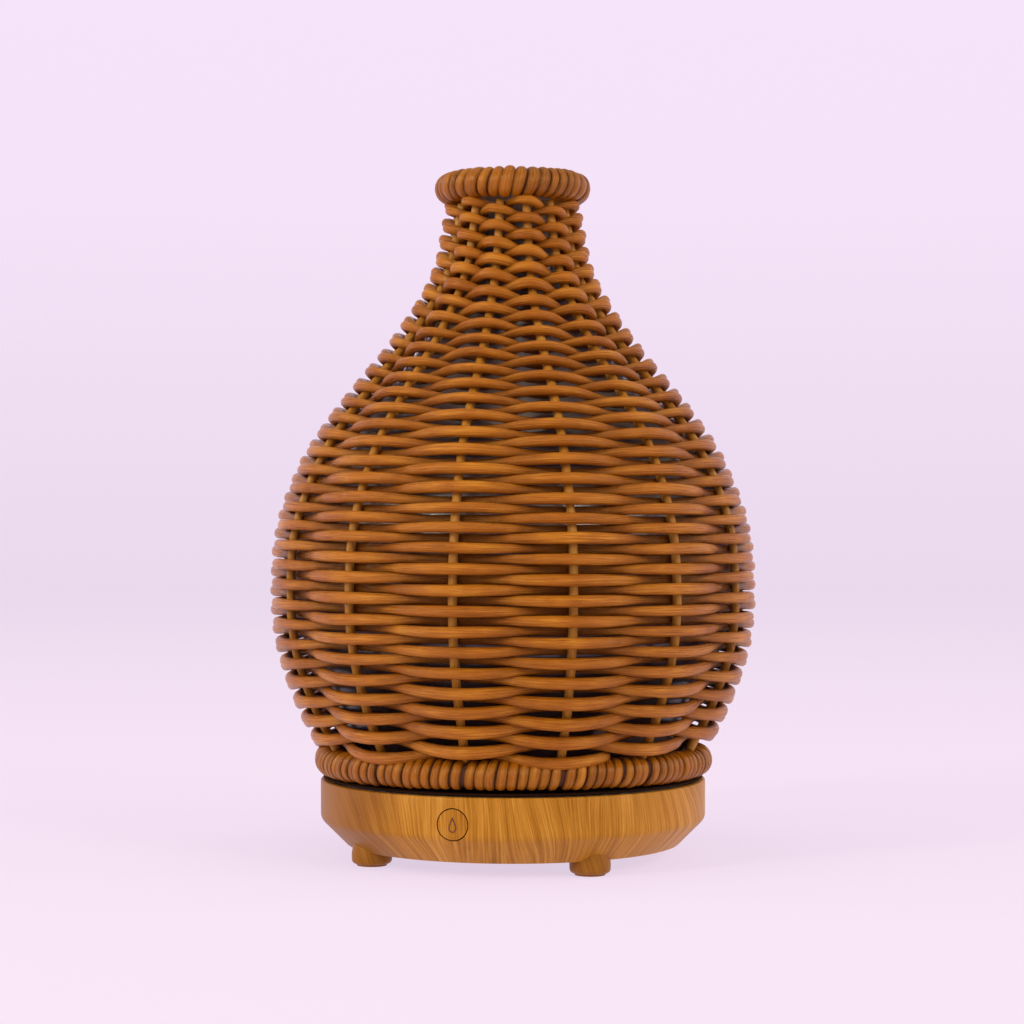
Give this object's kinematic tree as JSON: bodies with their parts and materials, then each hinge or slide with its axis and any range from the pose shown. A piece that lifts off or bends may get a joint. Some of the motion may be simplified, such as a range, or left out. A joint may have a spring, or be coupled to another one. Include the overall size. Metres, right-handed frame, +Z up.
{
  "type": "essential oil diffuser",
  "caption": "Vase-shaped woven wicker cover with a wrapped neck ring over a round wood-look base holding a water tank, ultrasonic disc, fan and push button.",
  "frame": {"origin": "centre of the footprint on the floor", "axes": "+Z up, front with the button towards -Y, +X to the right of someone facing the front"},
  "size_m": [0.1006, 0.1004, 0.14],
  "materials": {
    "wood_plastic": "printed wood grain, satin",
    "plate_plastic": "satin",
    "rubber_black": "matt",
    "rubber_brown": "matt",
    "screw_steel": "zinc plated",
    "tank_plastic": "smooth, slightly milky",
    "disc_metal": "satin",
    "board_laminate": "green solder mask",
    "black_plastic": "matt",
    "capacitor_can": "blue sleeve",
    "white_plastic": "matt",
    "led_lens": "clear amber-white lens",
    "lead_red": "soft insulation",
    "lead_black": "soft insulation",
    "liner_plastic": "glossy dark brown-grey",
    "wicker_strand": "semi-gloss brown rattan",
    "wicker_stake": "satin pale rattan"
  },
  "bodies": {
    "base": {"base_housing": "wood_plastic", "bottom_plate": "plate_plastic", "foot_pad_1": "rubber_brown", "foot_pad_2": "rubber_brown", "foot_pad_3": "rubber_brown", "foot_pad_4": "rubber_brown", "tank_gasket": "rubber_black", "disc_seal": "rubber_black", "plate_screw_1": "screw_steel", "plate_screw_2": "screw_steel", "plate_screw_3": "screw_steel", "retainer_screw_1": "screw_steel", "retainer_screw_2": "screw_steel", "retainer_screw_3": "screw_steel", "board_screw_1": "screw_steel", "board_screw_2": "screw_steel", "water_tank": "tank_plastic", "disc_retainer": "tank_plastic", "ultrasonic_disc": "disc_metal", "circuit_board": "board_laminate", "dc_jack": "black_plastic", "transistor": "black_plastic", "control_chip": "black_plastic", "tact_switch": "black_plastic", "fan_frame": "black_plastic", "inductor": "black_plastic", "capacitor": "capacitor_can", "fan_connector": "white_plastic", "disc_connector": "white_plastic", "led_1": "led_lens", "led_2": "led_lens", "led_3": "led_lens", "disc_lead_a": "lead_red", "fan_lead_a": "lead_red", "disc_lead_b": "lead_black", "fan_lead_b": "lead_black"},
    "cover": {"liner": "liner_plastic", "mist_guide": "tank_plastic", "wicker_weave": "wicker_strand", "top_border": "wicker_strand", "bottom_border": "wicker_strand", "wicker_stake_01": "wicker_stake", "wicker_stake_02": "wicker_stake", "wicker_stake_03": "wicker_stake", "wicker_stake_04": "wicker_stake", "wicker_stake_05": "wicker_stake", "wicker_stake_06": "wicker_stake", "wicker_stake_07": "wicker_stake", "wicker_stake_08": "wicker_stake", "wicker_stake_09": "wicker_stake", "wicker_stake_10": "wicker_stake", "wicker_stake_11": "wicker_stake", "wicker_stake_12": "wicker_stake", "wicker_stake_13": "wicker_stake"},
    "button": {"button_cap": "wood_plastic", "switch_plunger": "white_plastic"},
    "fan": {"fan_rotor": "black_plastic"}
  },
  "joints": [
    {"name": "cover_lift", "type": "slide", "parent": "base", "child": "cover", "axis": [0, 0, 1], "range_m": [0, 0.05]},
    {"name": "button_press", "type": "slide", "parent": "base", "child": "button", "axis": [0.294, 0.9558, 0], "range_m": [0, 0.0005], "stiffness_N_per_m": 600, "springref_m": -0.0005},
    {"name": "fan_spin", "type": "hinge", "parent": "base", "child": "fan", "pos_m": [0.01917, 0.00698, 0.008], "axis": [0, 0, 1], "continuous": true}
  ]
}
